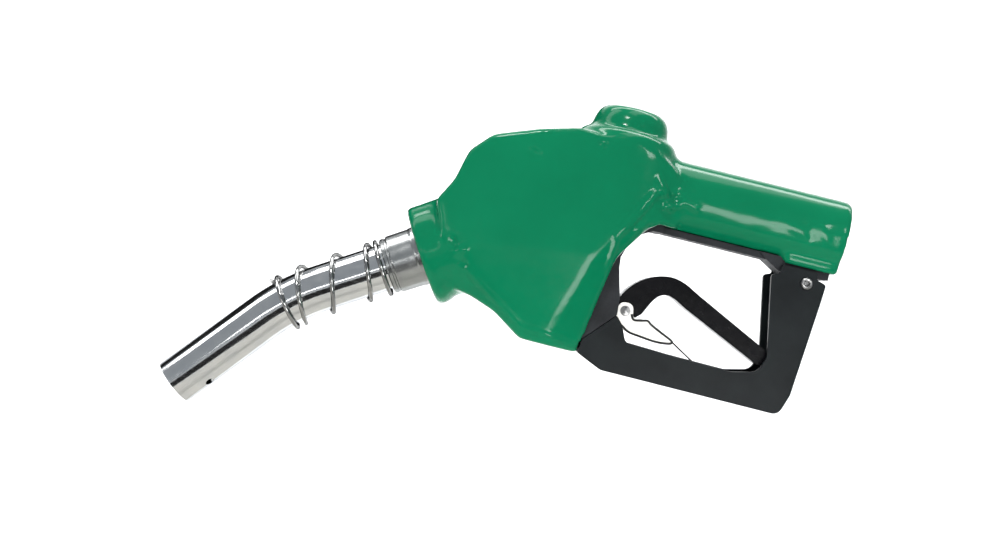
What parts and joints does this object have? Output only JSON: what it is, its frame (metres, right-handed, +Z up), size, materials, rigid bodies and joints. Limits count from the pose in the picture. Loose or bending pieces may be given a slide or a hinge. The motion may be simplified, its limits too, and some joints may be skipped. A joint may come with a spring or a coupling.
{
  "type": "fuel nozzle",
  "caption": "automatic shut-off fuel nozzle: covered valve body and grip, bent metal spout with a coil spring, squeeze lever in a hand guard with a hold-open latch",
  "frame": {"origin": "centre of the hose inlet's end face, on the grip's axis", "axes": "+X out of the hose inlet along the grip, +Z up from the grip through the round valve cap, Y = 0 the mid plane"},
  "size_m": [0.3219, 0.0524, 0.1991],
  "materials": {
    "cover_vinyl": "glossy dipped vinyl",
    "casting": "dark satin coating on cast aluminium",
    "machined_alloy": "satin, turned",
    "spout_metal": "polished, finely scratched",
    "spring_steel": "bright wire",
    "plain_steel": "plated",
    "bright_steel": "bright plated",
    "brass_parts": "turned",
    "seal_rubber": "matt",
    "guard_plastic": "satin moulded",
    "lever_plastic": "glossy moulded"
  },
  "bodies": {
    "nozzle_body": {"scuff_guard": "cover_vinyl", "body_casting": "casting", "valve_cap": "machined_alloy", "spout_bushing": "machined_alloy", "diaphragm_cap": "machined_alloy", "sensing_tube": "machined_alloy", "spout_tube": "spout_metal", "main_spring": "spring_steel", "check_spring": "spring_steel", "plunger_spring": "spring_steel", "diaphragm_spring": "spring_steel", "spout_anchor_spring": "spring_steel", "diaphragm_screw_1": "plain_steel", "diaphragm_screw_2": "plain_steel", "diaphragm_screw_3": "plain_steel", "diaphragm_screw_4": "plain_steel", "guard_screw_front_1": "plain_steel", "guard_screw_front_2": "plain_steel", "guard_nut_rear": "plain_steel", "guard_screw_rear": "plain_steel", "inlet_strainer": "bright_steel", "main_seat_ring": "brass_parts", "packing_nut": "brass_parts", "check_stop": "brass_parts", "plunger_insert": "brass_parts", "valve_cap_seal": "seal_rubber", "stem_packing": "seal_rubber", "spout_seal": "seal_rubber", "lever_guard": "guard_plastic"},
    "lever_side": {"lever": "lever_plastic", "latch_rivet": "bright_steel"},
    "hold_open": {"hold_open_latch": "bright_steel", "latch_spring": "spring_steel"},
    "shut_off_plunger": {"plunger": "plain_steel", "fulcrum_pin": "plain_steel", "latch_ball_1": "bright_steel", "latch_ball_2": "bright_steel", "latch_ball_3": "bright_steel"},
    "main_valve": {"valve_stem": "bright_steel", "poppet_disc": "seal_rubber", "poppet_holder": "brass_parts"},
    "trip": {"tripping_pin": "bright_steel", "diaphragm": "seal_rubber"},
    "check_valve": {"check_poppet": "brass_parts"}
  },
  "joints": [
    {"name": "plunger_drop", "type": "slide", "parent": "nozzle_body", "child": "shut_off_plunger", "axis": [0.4472, 0, -0.8944], "range_m": [0, 0.005], "stiffness_N_per_m": 800, "springref_m": -0.006, "deforming": ["plunger_spring"]},
    {"name": "lever_squeeze", "type": "hinge", "parent": "shut_off_plunger", "child": "lever_side", "pos_m": [-0.132, 0, -0.072], "axis": [0, -1, 0], "range_deg": [0, 20], "stiffness_Nm_per_rad": 1, "springref_deg": -11.46},
    {"name": "latch_swing", "type": "hinge", "parent": "lever_side", "child": "hold_open", "pos_m": [-0.0985, 0, -0.0627], "axis": [0, 1, 0], "range_deg": [0, 25], "stiffness_Nm_per_rad": 0.02, "springref_deg": -17.19, "deforming": ["latch_spring"]},
    {"name": "valve_lift", "type": "slide", "parent": "nozzle_body", "child": "main_valve", "axis": [0, 0, 1], "range_m": [0, 0.0053], "deforming": ["main_spring"]},
    {"name": "trip_lift", "type": "slide", "parent": "nozzle_body", "child": "trip", "axis": [-0.4472, 0, 0.8944], "range_m": [0, 0.0025], "stiffness_N_per_m": 300, "springref_m": -0.004, "deforming": ["diaphragm_spring", "diaphragm"]},
    {"name": "check_open", "type": "slide", "parent": "nozzle_body", "child": "check_valve", "axis": [-0.848, 0, -0.5299], "range_m": [0, 0.004], "stiffness_N_per_m": 200, "springref_m": -0.004, "deforming": ["check_spring"]}
  ],
  "couplings": [
    {"joint": "valve_lift", "follows": "lever_squeeze", "m_per_rad": 0.0148}
  ]
}
